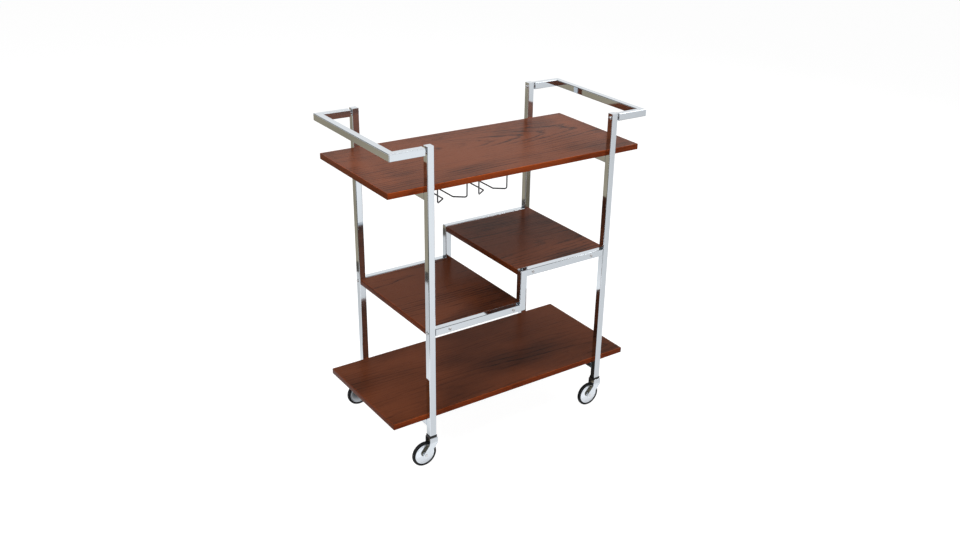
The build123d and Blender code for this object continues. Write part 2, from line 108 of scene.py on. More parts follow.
class CartFinishes(PropertyGroup):
    """Colours of the cart's surfaces."""

    chrome: colour("Chrome", "Tint of the plated tube", (0.645, 0.69, 0.735))
    wire: colour("Wire", "Tint of the plated hanger wire", (0.15, 0.155, 0.165))
    disc: colour("Wheel disc", "Tint of the bright wheel discs", (0.74, 0.785, 0.84))
    fastener: colour("Fasteners", "Tint of screws, bolts, spacers and axles", (0.62, 0.62, 0.63))
    steel: colour("Steel", "Plain steel inside the casters and tubes", (0.40, 0.40, 0.41))
    # Partly dull plate and partly painted shade: darker tint inside the hollow of the forks
    fork_inside_dull_and_shaded: colour("Fork inside", "Dull plate inside the forks", (0.30, 0.26, 0.18))
    # Painted shade: near-black tint for the shadow under the forks' crowns
    fork_crown_shade: colour("Fork crown", "Grime under the forks' crowns", (0.020, 0.017, 0.014))
    plastic: colour("Plastic", "Black caster sockets", (0.010, 0.010, 0.011))
    rubber: colour("Rubber", "Black tyres", (0.006, 0.0062, 0.0072))
    stain_light: colour("Light stain", "Lightest bands of the veneer", (0.205, 0.057, 0.022))
    stain_dark: colour("Dark stain", "Darkest lines of the veneer", (0.025, 0.0075, 0.004))
    # The long edge strips are toned lighter than the face partly as painted light on the front edges,
    # where light from the front falls
    edge_light: colour("Light edge", "Lightest bands of the edge strips", (0.50, 0.090, 0.020))
    edge_dark: colour("Dark edge", "Darkest lines of the edge strips", (0.17, 0.029, 0.0085))
    end_light: colour("Light end", "Lightest bands of the end strips", (0.15, 0.035, 0.0115))
    end_dark: colour("Dark end", "Darkest lines of the end strips", (0.05, 0.012, 0.005))
    # Arris tones are lighter than the edge strips partly from stain rubbed thin and partly as a painted
    # highlight along the rounded edges
    arris_light: colour("Light arris", "Edges where the stain has rubbed thin", (0.56, 0.125, 0.034))
    arris_dark: colour("Dark arris", "Edges where the stain is whole", (0.26, 0.050, 0.013))
    floor: colour("Floor", "Studio floor", (0.28, 0.28, 0.28))
    warm_card: colour("Warm card", "Card on the left, seen in reflections", (0.44, 0.385, 0.285))
    olive_card: colour("Olive card", "Card on the right, seen in reflections", (0.235, 0.195, 0.135))
    dark_card: colour("Dark card", "Dark cards on the left, seen in reflections", (0.10, 0.09, 0.08))
    # Painted shadow: dark tint of a card that stands for the shade on the floor under the cart, seen
    # only in reflections
    under_card: colour(
        "Under card", "Card under the bottom shelf, seen in reflections", (0.025, 0.021, 0.018))


class CartStudio(PropertyGroup):
    """Camera and light."""

    camera_place: FloatVectorProperty(
        name="Camera", description="Place of the camera", subtype="TRANSLATION", unit="LENGTH",
        default=(-1.5362, -2.2699, 1.6957))
    azimuth: FloatProperty(
        name="Azimuth", description="Turn of the view about the vertical", subtype="ANGLE",
        default=math.radians(-37.74))
    elevation: FloatProperty(
        name="Elevation", description="Tilt of the view below the horizon", subtype="ANGLE",
        default=math.radians(25.82))
    roll: FloatProperty(
        name="Roll", description="Turn of the picture about the view", subtype="ANGLE",
        default=math.radians(2.41))
    focal_pixels: FloatProperty(
        name="Focal length", description="Focal length in pixels of the frame", default=1015.56)
    axis_x: FloatProperty(
        name="Axis across", description="Pixel that the lens axis meets, from the left", default=540.26)
    axis_y: FloatProperty(
        name="Axis down", description="Pixel that the lens axis meets, from the top", default=297.05)
    overhead: power("Overhead lamp", "Softbox above the cart", 23)
    left: power("Left lamp", "Softbox on the left", 92)
    right: power("Right lamp", "Softbox on the right", 55)
    low: power("Front lamp", "Softbox low in front", 19)
    fill: FloatProperty(
        name="Fill", description="Share of the surroundings' light that matt faces get",
        subtype="FACTOR", default=0.06, min=0, max=1)
    backdrop: brightness("Backdrop", "White surroundings", 1.0)
    ceiling: brightness("Ceiling", "Surroundings high above the cart", 0.30)
    dusk: brightness("Dark side", "Surroundings behind the camera", 0.14)
    shade: brightness("Dark left", "Surroundings far on the camera's left", 0.12)
    glow: brightness("Floor glow", "Light that the white floor gives by itself", 0.90)
    whiteness: brightness("Whiteness", "That light as the camera sees it", 0.96)


def put(tree, kind, links=None, **settings):
    """New node. Settings with a capital are input values, others are properties. Links feed inputs."""
    node = tree.nodes.new(kind)
    for key, value in settings.items():
        if key[0].isupper():
            node.inputs[key.replace("_", " ")].default_value = value
        else:
            setattr(node, key, value)
    for key, source in (links or {}).items():
        tree.links.new(source, node.inputs[key])
    return node


def feed(tree, socket, value):
    """Sets an input to a number or colour, or links it to an output."""
    if isinstance(value, bpy.types.NodeSocket):
        tree.links.new(value, socket)
    else:
        socket.default_value = value


def calc(tree, operation, *values):
    """Result of a Math node on numbers or outputs."""
    node = tree.nodes.new("ShaderNodeMath")
    node.operation = operation
    for socket, value in zip(node.inputs, values):
        feed(tree, socket, value)
    return node.outputs[0]


def fade(tree, value, low, high, start=0.0, end=1.0):
    """Smooth step from start to end as a value goes from low to high."""
    node = put(tree, "ShaderNodeMapRange", interpolation_type="SMOOTHSTEP")
    ends = {"Value": value, "From Min": low, "From Max": high, "To Min": start, "To Max": end}
    for name, amount in ends.items():
        feed(tree, node.inputs[name], amount)
    return node.outputs["Result"]


def blend(tree, factor, first, second):
    """Mix of two colours."""
    node = put(tree, "ShaderNodeMix", data_type="RGBA")
    for index, value in zip(COLOUR_INPUTS, (factor, first, second)):
        feed(tree, node.inputs[index], value)
    return node.outputs[COLOUR_OUTPUT]


def stretch(tree, vector, scale, shift=(0, 0, 0)):
    """Coordinates times a scale for each axis, plus a shift."""
    return put(tree, "ShaderNodeMapping", {"Vector": vector}, Scale=scale, Location=shift).outputs[0]


def noise(tree, vector, scale, detail, roughness=0.5):
    """Noise between 0 and 1."""
    node = put(
        tree, "ShaderNodeTexNoise", {"Vector": vector}, Scale=scale, Detail=detail, Roughness=roughness)
    return node.outputs["Fac"]


def times(tree, first, second):
    """Product of numbers or outputs."""
    return calc(tree, "MULTIPLY", first, second)


def centred(tree, value, size):
    """Noise moved to swing about 0, times a size."""
    return times(tree, calc(tree, "SUBTRACT", value, 0.5), size)


def total(tree, *values):
    """Sum of numbers or outputs."""
    result = values[0]
    for value in values[1:]:
        result = calc(tree, "ADD", result, value)
    return result


def place(tree):
    """Object coordinates."""
    return tree.nodes.new("ShaderNodeTexCoord").outputs["Object"]


def along(tree, vector, direction):
    """Part of a vector along a direction."""
    node = put(tree, "ShaderNodeVectorMath", {0: vector}, operation="DOT_PRODUCT")
    node.inputs[1].default_value = direction
    return node.outputs["Value"]


def shared_group(name, inputs, outputs):
    """Empty node group with its sockets. Inputs map a name to a kind and a default."""
    tree = bpy.data.node_groups.new(name, "ShaderNodeTree")
    for label, (kind, default) in inputs.items():
        socket = tree.interface.new_socket(label, in_out="INPUT", socket_type="NodeSocket" + kind)
        if default is not None:
            socket.default_value = default
    for label, kind in outputs.items():
        tree.interface.new_socket(label, in_out="OUTPUT", socket_type="NodeSocket" + kind)
    return tree, tree.nodes.new("NodeGroupInput").outputs, tree.nodes.new("NodeGroupOutput").inputs


def use_group(tree, name, links=None, **values):
    """Places a node group in a material with its own values."""
    return put(tree, "ShaderNodeGroup", links, node_tree=bpy.data.node_groups[name], **values).outputs


SMEAR_MIX = (0.7, 0.3)          # shares of broad and fine noise in the smears
SMEAR_RISE = (0.40, 0.72)       # noise from which a smear starts, and at which it is whole
SMEAR_TINT = (0.60, 0.60, 0.62, 1)
SMEAR_COVER = 0.10


def polish_group():
    """Bright plate: faint smears in its polish and a slight wave in its face."""
    tree, given, result = shared_group(
        "polish",
        {"Tint": ("Color", (0.7, 0.7, 0.7, 1)), "Roughness": ("Float", 0.06), "Smear": ("Float", 0.05)},
        {"Color": "Color", "Roughness": "Float", "Height": "Float"})
    where = place(tree)
    broad = noise(tree, where, scale=9, detail=3, roughness=0.6)
    fine = noise(tree, where, scale=160, detail=3, roughness=0.65)
    mixed = total(tree, times(tree, broad, SMEAR_MIX[0]), times(tree, fine, SMEAR_MIX[1]))
    smear = fade(tree, mixed, *SMEAR_RISE)
    dulled = blend(tree, times(tree, smear, SMEAR_COVER), given["Tint"], SMEAR_TINT)
    tree.links.new(dulled, result["Color"])
    dull = times(tree, smear, given["Smear"])
    tree.links.new(total(tree, given["Roughness"], dull), result["Roughness"])
    tree.links.new(noise(tree, where, scale=26, detail=1, roughness=0.4), result["Height"])


# Noises of the veneer: waves per metre along the grain and across it, detail, roughness
VENEER_NOISE = {
    "drift": (2.2, 7, 2, 0.5),
    "ripple": (13, 50, 2, 0.55),
    "jag": (40, 240, 3, 0.65),
    "cloud": (3.0, 10, 3, 0.55),
    "gaps": (16, 240, 2, 0.6),
    "blotch": (3.5, 5, 1, 0.5),
    "streak": (7, 170, 4, 0.7),
    "fibre": (14, 900, 3, 0.65),
    "pores": (60, 2400, 1, 0.5),
}
BLOTCH_SHIFT = (7.3, 0, 0)      # keeps the blotches from following the clouds
HEART_DEPTH = 0.03              # heart of the log below the face, at the middle of a board
DRIFT_ACROSS = 0.06             # how far the noises move the rings, across the board and in depth
DRIFT_DEPTH = 0.045
RIPPLE_DEPTH = 0.010
JAG_DEPTH = 0.006
LATE_RISE = (0.62, 0.88)        # parts of a ring's width where its dark late wood rises and ends
LATE_END = (0.93, 1.0)
YEAR_SPREAD = 0.80              # how much the rings differ in darkness
CLOUD_ON_RINGS = (0.34, 0.64, 0.35, 1.0)    # rings are fainter where the clouds are thin
GAPS_IN_RINGS = (0.36, 0.58, 0.25, 1.0)     # and broken into dashes
CLOUD_RISE, CLOUD_SHADE = (0.30, 0.75), 0.22
BLOTCH_RISE, BLOTCH_SHADE = (0.40, 0.75), 0.35
PORE_RISE, PORE_SHADE = (0.58, 0.70), 0.22
STREAK_SHADE = 0.45
FIBRE_SHADE = 0.50
MEAN_SHADE = 0.30               # how far the veneer is stained on average, from light to dark
FIBRE_DULL, PORE_DULL = 0.10, 0.12          # roughness that fibres and pores add
FIBRE_RELIEF = 0.35             # height of the fibres, where a pore is 1 deep


def veneer_noise(tree, where, name, shift=(0, 0, 0)):
    """One of the veneer's noises."""
    lengthwise, crosswise, detail, roughness = VENEER_NOISE[name]
    stretched = stretch(tree, where, (lengthwise, crosswise, crosswise), shift)
    return noise(tree, stretched, 1, detail, roughness)


def veneer_group():
    """Crown-cut veneer: growth rings cut at a slant into pointed arches, with pores and cloudy tone."""
    tree, given, result = shared_group(
        "veneer",
        {
            "Vector": ("Vector", None),
            "Light": ("Color", (0.2, 0.05, 0.03, 1)),
            "Dark": ("Color", (0.05, 0.01, 0.01, 1)),
            "Ring Pitch": ("Float", 0.0085),
            "Heart": ("Float", 0.0),
            "Slant": ("Float", 0.09),
            "Figure": ("Float", 0.6),
            "Contrast": ("Float", 1.0),
        },
        {"Color": "Color", "Roughness": "Float", "Height": "Float"})
    where = given["Vector"]
    drift = veneer_noise(tree, where, "drift")
    ripple = veneer_noise(tree, where, "ripple")
    jag = veneer_noise(tree, where, "jag")
    cloud = veneer_noise(tree, where, "cloud")
    gaps = veneer_noise(tree, where, "gaps")
    blotch = veneer_noise(tree, where, "blotch", BLOTCH_SHIFT)
    streak = veneer_noise(tree, where, "streak")
    fibre = veneer_noise(tree, where, "fibre")
    pores = fade(tree, veneer_noise(tree, where, "pores"), *PORE_RISE)
    axes = put(tree, "ShaderNodeSeparateXYZ", {"Vector": where}).outputs
    across = calc(tree, "SUBTRACT", axes["Y"], given["Heart"])
    across = total(tree, across, centred(tree, drift, DRIFT_ACROSS))
    depth = total(
        tree, calc(tree, "MULTIPLY_ADD", axes["X"], given["Slant"], HEART_DEPTH),
        centred(tree, drift, DRIFT_DEPTH), centred(tree, ripple, RIPPLE_DEPTH),
        centred(tree, jag, JAG_DEPTH))
    squares = [calc(tree, "POWER", part, 2) for part in (across, depth)]
    radius = calc(tree, "SQRT", total(tree, *squares))
    count = calc(tree, "DIVIDE", radius, given["Ring Pitch"])
    phase = calc(tree, "FRACT", count)
    late = times(tree, fade(tree, phase, *LATE_RISE), fade(tree, phase, *LATE_END, 1.0, 0.0))
    ring = calc(tree, "FLOOR", count)
    year = put(tree, "ShaderNodeTexWhiteNoise", {"W": ring}, noise_dimensions="1D").outputs["Value"]
    rings = times(tree, late, calc(tree, "MULTIPLY_ADD", year, YEAR_SPREAD, 1 - YEAR_SPREAD))
    rings = times(tree, rings, fade(tree, cloud, *CLOUD_ON_RINGS))
    rings = times(tree, rings, fade(tree, gaps, *GAPS_IN_RINGS))
    shade = total(
        tree,
        times(tree, fade(tree, cloud, *CLOUD_RISE), CLOUD_SHADE),
        times(tree, rings, given["Figure"]),
        times(tree, fade(tree, blotch, *BLOTCH_RISE), BLOTCH_SHADE),
        centred(tree, streak, STREAK_SHADE),
        centred(tree, fibre, FIBRE_SHADE),
        times(tree, pores, PORE_SHADE))
    apart = calc(tree, "SUBTRACT", shade, MEAN_SHADE)
    shade = calc(tree, "MULTIPLY_ADD", apart, given["Contrast"], MEAN_SHADE)
    tone = put(tree, "ShaderNodeClamp", {"Value": shade}).outputs[0]
    tree.links.new(blend(tree, tone, given["Light"], given["Dark"]), result["Color"])
    dull = calc(tree, "MULTIPLY_ADD", fibre, FIBRE_DULL, times(tree, pores, PORE_DULL))
    tree.links.new(dull, result["Roughness"])
    relief = calc(tree, "MULTIPLY_ADD", pores, -1.0, times(tree, fibre, FIBRE_RELIEF))
    tree.links.new(relief, result["Height"])


DUST_RISE = (0.48, 0.78)        # noise from which dust starts, and at which it is whole
DUST_DULL = 0.12                # roughness that dust adds


def moulded_group():
    """Moulded black: fine grain, with a little pale dust in patches."""
    tree, given, result = shared_group(
        "moulded",
        {
            "Tint": ("Color", (0.01, 0.01, 0.01, 1)),
            "Dust": ("Color", (0.09, 0.09, 0.09, 1)),
            "Cover": ("Float", 0.15),
            "Roughness": ("Float", 0.5),
        },
        {"Color": "Color", "Roughness": "Float", "Height": "Float"})
    where = place(tree)
    grain = noise(tree, where, scale=1500, detail=2, roughness=0.6)
    patches = fade(tree, noise(tree, where, scale=60, detail=4, roughness=0.65), *DUST_RISE)
    cover = times(tree, patches, given["Cover"])
    tree.links.new(blend(tree, cover, given["Tint"], given["Dust"]), result["Color"])
    dull = calc(tree, "MULTIPLY_ADD", patches, DUST_DULL, given["Roughness"])
    tree.links.new(dull, result["Roughness"])
    tree.links.new(grain, result["Height"])


PLATE_BUMP = (0.04, 0.002)      # strength and distance of the relief in each kind of finish
TURNED_BUMP = (0.05, 0.0001)
MOULDED_BUMP = (0.15, 0.0002)
VENEER_BUMP = (0.12, 0.0003)
PLATE_SMEAR = 0.04              # roughness that smears add
TURNED_SMEAR = 0.03
TURNED_MARKS = 2600             # turning marks for each metre of radius
TURNED_DULL = 0.08              # roughness that they add
FORK_ROUGHNESS = 0.08
FORK_DULL = 0.40                # roughness added inside a fork
FORK_EDGE = (0.1, 0.3)          # part of the sheet's thickness where the inside's finish fades out
CROWN_SHADE_RISE = (0.70, 0.85)       # part of the crown's height where the painted shade starts, and where it is whole
LACQUER_ROUGHNESS = 0.24
LACQUER_GLOSS = 0.035


def new_finish(name):
    """Empty material with its shader, and the shader's tree."""
    material = bpy.data.materials.new(name)
    material.use_nodes = True
    tree = material.node_tree
    shader = next(node for node in tree.nodes if node.type == "BSDF_PRINCIPLED")
    return material, tree, shader


def wire_up(tree, shader, shade, roughness, height, strength, distance):
    """Links a colour, a roughness and a height to the shader."""
    tree.links.new(shade, shader.inputs["Base Color"])
    tree.links.new(roughness, shader.inputs["Roughness"])
    bump = put(tree, "ShaderNodeBump", {"Height": height}, Strength=strength, Distance=distance)
    tree.links.new(bump.outputs[0], shader.inputs["Normal"])


def plated_finish(name, tint, roughness):
    """Bright metal plate."""
    material, tree, shader = new_finish(name)
    made = use_group(tree, "polish", Tint=(*tint, 1), Roughness=roughness, Smear=PLATE_SMEAR)
    wire_up(tree, shader, made["Color"], made["Roughness"], made["Height"], *PLATE_BUMP)
    shader.inputs["Metallic"].default_value = 1
    return material


def fork_finish(name, tint, inside, crown_shade, sheet):
    """Bright plate outside, dull inside where polish doesn't reach and tinted darker there partly as
    painted shade, and painted shade under the crown.
    """
    material, tree, shader = new_finish(name)
    made = use_group(tree, "polish", Tint=(*tint, 1), Roughness=FORK_ROUGHNESS, Smear=PLATE_SMEAR)
    low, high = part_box(CORNERS[0] + "_caster_fork")
    middle, reach, crown = abs(low.y + high.y) / 2, (high.y - low.y) / 2 - sheet, high.z - sheet
    axes = put(tree, "ShaderNodeSeparateXYZ", {"Vector": place(tree)}).outputs
    off = calc(tree, "ABSOLUTE", calc(tree, "SUBTRACT", calc(tree, "ABSOLUTE", axes["Y"]), middle))
    near, far = (part * sheet for part in FORK_EDGE)
    hidden = times(
        tree, fade(tree, off, reach + near, reach + far, 1.0, 0.0),
        fade(tree, axes["Z"], crown + near, crown + far, 1.0, 0.0))
    # Painted shade: the inside turns near-black towards the underside of the crown
    crown_shading = fade(tree, axes["Z"], *(part * crown for part in CROWN_SHADE_RISE))
    shaded_inside = blend(tree, crown_shading, (*inside, 1), (*crown_shade, 1))
    shade = blend(tree, hidden, made["Color"], shaded_inside)
    roughness = calc(tree, "MULTIPLY_ADD", hidden, FORK_DULL, made["Roughness"])
    wire_up(tree, shader, shade, roughness, made["Height"], *PLATE_BUMP)
    shader.inputs["Metallic"].default_value = 1
    return material


def turned_finish(name, tint, roughness):
    """Bright plate with faint turning marks around the axle."""
    material, tree, shader = new_finish(name)
    made = use_group(tree, "polish", Tint=(*tint, 1), Roughness=roughness, Smear=TURNED_SMEAR)
    radius = put(tree, "ShaderNodeAttribute", attribute_name=RADIUS).outputs["Fac"]
    marks = put(
        tree, "ShaderNodeTexNoise", {"W": radius}, noise_dimensions="1D", Scale=TURNED_MARKS,
        Detail=3).outputs["Fac"]
    dulled = calc(tree, "MULTIPLY_ADD", marks, TURNED_DULL, made["Roughness"])
    wire_up(tree, shader, made["Color"], dulled, marks, *TURNED_BUMP)
    shader.inputs["Metallic"].default_value = 1
    return material


def moulded_finish(name, tint, roughness, cover, gloss):
    """Black rubber or plastic."""
    material, tree, shader = new_finish(name)
    made = use_group(tree, "moulded", Tint=(*tint, 1), Roughness=roughness, Cover=cover)
    wire_up(tree, shader, made["Color"], made["Roughness"], made["Height"], *MOULDED_BUMP)
    shader.inputs["Specular IOR Level"].default_value = gloss
    return material


def veneer_finish(name, light, dark, pitch, heart, slant, figure, contrast, shift, turn=0.0):
    """Stained veneer under a satin lacquer. Turn swings the grain about the vertical."""
    material, tree, shader = new_finish(name)
    where = put(
        tree, "ShaderNodeMapping", {"Vector": place(tree)}, Rotation=(0, 0, turn),
        Location=shift).outputs[0]
    made = use_group(
        tree, "veneer", {"Vector": where}, Light=(*light, 1), Dark=(*dark, 1), Ring_Pitch=pitch,
        Heart=heart, Slant=slant, Figure=figure, Contrast=contrast)
    roughness = total(tree, made["Roughness"], LACQUER_ROUGHNESS)
    wire_up(tree, shader, made["Color"], roughness, made["Height"], *VENEER_BUMP)
    shader.inputs["Specular IOR Level"].default_value = LACQUER_GLOSS
    return material


def dress(names, material):
    """Puts a material on CAD nodes."""
    for name in names:
        mesh = NODES[name].data
        mesh.materials.clear()
        mesh.materials.append(material)


def in_slot(wanted):
    """Names of the CAD nodes in a material slot."""
    return [name for name, slot in SLOTS.items() if slot == wanted]


def pick(piece):
    """Selects one object alone and makes it active."""
    bpy.ops.object.select_all(action="DESELECT")
    piece.select_set(True)
    bpy.context.view_layer.objects.active = piece


def start_piece(name, add, scale=(1, 1, 1), **settings):
    """Adds a primitive alone, with its place and scale in its mesh."""
    bpy.ops.object.select_all(action="DESELECT")
    add(**settings)
    piece = bpy.context.object
    piece.name = piece.data.name = name
    piece.scale = scale
    bpy.ops.object.transform_apply(location=True, rotation=True, scale=True)
    return piece


def edit(piece, mode, choose):
    """Edit mode with the vertices or faces that choose accepts selected, and nothing else."""
    pick(piece)
    bpy.ops.object.mode_set(mode="EDIT")
    bpy.ops.mesh.select_mode(type=mode)
    bpy.ops.mesh.select_all(action="DESELECT")
    bpy.ops.object.mode_set(mode="OBJECT")
    for item in piece.data.vertices if mode == "VERT" else piece.data.polygons:
        item.select = choose(item)
    bpy.ops.object.mode_set(mode="EDIT")


def done():
    """Back to object mode."""
    bpy.ops.object.mode_set(mode="OBJECT")


def copy_to(piece, name, move):
    """Copy with a mesh of its own, moved in the mesh."""
    pick(piece)
    bpy.ops.object.duplicate(linked=False)
    twin = bpy.context.object
    bpy.ops.transform.translate(value=move)
    bpy.ops.object.transform_apply(location=True, rotation=True, scale=True)
    twin.name = twin.data.name = name
    return twin


def stand_in(piece, node, body):
    """Puts a finished piece in a CAD node's place on its body."""
    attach(piece, body)
    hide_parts(node)


class CART_OT_effects(Operator):
    """Effects that several finishes share"""

    bl_idname = "cart.effects"
    bl_label = "Shared effects"

    def execute(self, context):
        polish_group()
        veneer_group()
        moulded_group()
        return {"FINISHED"}


class CART_OT_tubes(Operator):
    """Chrome on uprights, crossbars, handles and rails"""

    bl_idname = "cart.tubes"
    bl_label = "Tubes"

    def execute(self, context):
        plate = plated_finish("tube_plate", context.scene.cart_finishes.chrome, roughness=0.045)
        dress(in_slot("chrome_tube"), plate)
        return {"FINISHED"}


class CART_OT_fasteners(Operator):
    """Plate on bolts, screws, spacers and axles, and plain steel inside tubes and casters"""

    bl_idname = "cart.fasteners"
    bl_label = "Fasteners"

    def execute(self, context):
        look = context.scene.cart_finishes
        plate = plated_finish("fastener_plate", look.fastener, roughness=0.14)
        steel = plated_finish("steel_face", look.steel, roughness=0.34)
        dress(in_slot("plated_fastener"), plate)
        dress(in_slot("bearing_steel"), steel)
        return {"FINISHED"}


class CART_OT_hangers(Operator):
    """Plate on the glass hangers' wires and strips"""

    bl_idname = "cart.hangers"
    bl_label = "Glass hangers"

    def execute(self, context):
        plate = plated_finish("wire_plate", context.scene.cart_finishes.wire, roughness=0.10)
        dress(in_slot("chrome_wire"), plate)
        return {"FINISHED"}


class CART_OT_casters(Operator):
    """Finish of the casters' sockets and forks"""

    bl_idname = "cart.casters"
    bl_label = "Casters"

    def execute(self, context):
        look = context.scene.cart_finishes
        sheet = context.scene.cart_sizes.fork_sheet
        plastic = moulded_finish("socket_plastic", look.plastic, roughness=0.38, cover=0.06, gloss=0.35)
        plate = fork_finish("fork_plate", look.chrome, look.fork_inside_dull_and_shaded, look.fork_crown_shade, sheet)
        dress(in_slot("black_plastic"), plastic)
        dress(in_slot("chrome_fork"), plate)
        return {"FINISHED"}


RADIUS = "radius"               # attribute that holds the distance from the axle
SPIN_STEPS = 96
MERGE = 0.00001                 # points closer than this become one
ROUND_STEPS = 5
CROWN_BEADS = 3.0               # widths on a disc, in beads: flat crown around its hub
GROOVE_BEADS = 1.5              # groove inside its bead
SLOPE_BEADS = 0.3               # each side of that groove


def traced(name, outline):
    """Closed outline, drawn by extruding from point to point and filled as one face."""
    piece = start_piece(name, bpy.ops.mesh.primitive_plane_add, size=outline[0].length)
    edit(piece, "VERT", lambda vertex: True)
    bpy.ops.mesh.merge(type="CENTER")
    bpy.ops.transform.translate(value=outline[0])
    for last, point in zip(outline, outline[1:]):
        bpy.ops.mesh.extrude_region_move(TRANSFORM_OT_translate={"value": point - last})
    bpy.ops.mesh.select_all(action="SELECT")
    bpy.ops.mesh.edge_face_add()
    done()
    return piece


def rounded(piece, radius, choose):
    """Rounds the outline's corners that choose accepts."""
    edit(piece, "VERT", lambda vertex: choose(vertex.co))
    bpy.ops.mesh.bevel(
        offset=radius, offset_type="OFFSET", affect="VERTICES", segments=ROUND_STEPS, profile=0.5)
    done()


def spun(piece, centre):
    """Turns an outline about the axle into a closed ring, and keeps each point's radius."""
    edit(piece, "VERT", lambda vertex: True)
    bpy.ops.mesh.delete(type="ONLY_FACE")
    bpy.ops.mesh.select_all(action="SELECT")
    bpy.ops.mesh.spin(
        steps=SPIN_STEPS, angle=math.tau, center=centre, axis=(0, 1, 0), use_auto_merge=True)
    bpy.ops.mesh.select_all(action="SELECT")
    bpy.ops.mesh.remove_doubles(threshold=MERGE)
    bpy.ops.mesh.normals_make_consistent(inside=False)
    done()
    bpy.ops.object.shade_smooth_by_angle(angle=SMOOTH_ANGLE)
    kept = piece.data.attributes.new(RADIUS, "FLOAT", "POINT")
    for vertex, value in zip(piece.data.vertices, kept.data):
        value.value = math.hypot(vertex.co.x - centre.x, vertex.co.z - centre.z)


def middle_of(node):
    """Middle of a CAD node's box."""
    low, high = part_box(node)
    return (low + high) / 2


def ring_outline(centre, section):
    """Points of a section, given as distances from the axle and along it."""
    return [centre + Vector((0, y, radius)) for radius, y in section]


def copied_round(piece, part):
    """Copies the first corner's piece to the other corners and puts each in its node's place."""
    twins = [piece]
    for corner in CORNERS[1:]:
        move = middle_of(f"{corner}_caster_{part}") - middle_of(f"{CORNERS[0]}_caster_{part}")
        twins.append(copy_to(piece, f"{corner}_{piece.name.removeprefix(CORNERS[0] + '_')}", move))
    for corner, twin in zip(CORNERS, twins):
        stand_in(twin, f"{corner}_caster_{part}", f"{corner}_wheel")


class CART_OT_tyres(Operator):
    """Rubber tyres with rounded shoulders and chamfered lips"""

    bl_idname = "cart.tyres"
    bl_label = "Tyres"

    def execute(self, context):
        sizes, look = context.scene.cart_sizes, context.scene.cart_finishes
        node = CORNERS[0] + "_caster_tyre"
        low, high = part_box(node)
        rim_low, rim_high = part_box(CORNERS[0] + "_caster_wheel")
        centre = middle_of(node)
        outer, half = (high.z - low.z) / 2, (high.y - low.y) / 2
        inner = (rim_high.z - rim_low.z) / 2
        lip = sizes.tyre_lip
        section = (
            (inner, -half + lip), (inner + lip, -half), (outer, -half),
            (outer, half), (inner + lip, half), (inner, half - lip))
        tyre = traced(CORNERS[0] + "_tyre_ring", ring_outline(centre, section))
        rounded(tyre, sizes.tyre_shoulder, lambda point: point.z - centre.z > outer - lip)
        spun(tyre, centre)
        rubber = moulded_finish("tyre_rubber", look.rubber, roughness=0.46, cover=0.06, gloss=0.20)
        tyre.data.materials.append(rubber)
        copied_round(tyre, "tyre")
        return {"FINISHED"}


class CART_OT_wheels(Operator):
    """Wheel discs with a rolled bead at the rim and a hub tube"""

    bl_idname = "cart.wheels"
    bl_label = "Wheel discs"

    def execute(self, context):
        sizes, look = context.scene.cart_sizes, context.scene.cart_finishes
        node = CORNERS[0] + "_caster_wheel"
        low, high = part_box(node)
        centre = middle_of(node)
        rim, hub_end = (high.z - low.z) / 2, (high.y - low.y) / 2
        hub, crown, face, bead = sizes.hub_radius, sizes.disc_crown, sizes.disc_face, sizes.disc_bead
        floor = face - sizes.disc_groove
        outer = rim - bead
        inner = outer - GROOVE_BEADS * bead
        slope = SLOPE_BEADS * bead
        one_side = (
            (sizes.hub_bore, hub_end), (hub, hub_end), (hub, crown), (hub + CROWN_BEADS * bead, crown),
            (inner, face), (inner + slope, floor), (outer - slope, floor), (outer, face), (rim, face))
        section = one_side + tuple((radius, -y) for radius, y in reversed(one_side))
        disc = traced(CORNERS[0] + "_wheel_disc", ring_outline(centre, section))
        rounded(disc, hub - sizes.hub_bore - bead, lambda point: (
            abs(point.y - centre.y) > hub_end - MERGE and point.z - centre.z > hub - MERGE))
        rounded(disc, sizes.disc_groove / 2, lambda point: point.z - centre.z > inner - slope)
        spun(disc, centre)
        disc.data.materials.append(turned_finish("disc_plate", look.disc, roughness=0.10))
        copied_round(disc, "wheel")
        return {"FINISHED"}


BOARDS = {
    # tones of each board's face and long edges, the lower middle and bottom boards toned darker partly
    # as painted shade; then its grain: heart line across it, slant of the rings, strength of the figure,
    # contrast, place in the log; on the lower middle and bottom boards contrast and place are set partly
    # so that darker clouds fall where those boards lie in shade, which is painted shade too
    "top_shelf": (0.92, 1.0, (0.055, 0.115, 0.72, 2.0, (0.30, 0.0, 5.48))),
    "bottom_shelf": (0.88, 0.76, (-0.12, 0.050, 0.42, 1.25, (0.60, 0.0, 24.66))),
    "lower_middle_shelf": (0.80, 0.9, (0.13, 0.06, 0.55, 2.3, (0.50, 0.0, 31.51))),
    "upper_middle_shelf": (0.98, 0.9, (-0.06, 0.07, 0.65, 2.0, (0.40, 0.0, 12.33))),
}
EDGE_GRAIN = (0.4, 0.02, 0.6, 1.0, (0.0, 0.0, 0.0))
FLAT = 0.999                    # least part of a normal along an axis on a flat face
ARRIS_STEPS = 3
VENEER, LIPPING, END_LIPPING, ARRIS = range(4)      # material slots of a board


def board_slot(polygon, largest):
    """Material slot of a board's face: veneer, long lipping, end lipping or long arris, which is lighter
    from rubbed stain and from a painted highlight.
    """
    side = [abs(part) for part in polygon.normal]
    if max(side) < FLAT:
        return ARRIS if side[0] < 1 - FLAT else VENEER
    if side[2] > FLAT:
        return VENEER if polygon.area > largest / 2 else LIPPING
    return LIPPING if side[1] > side[0] else END_LIPPING


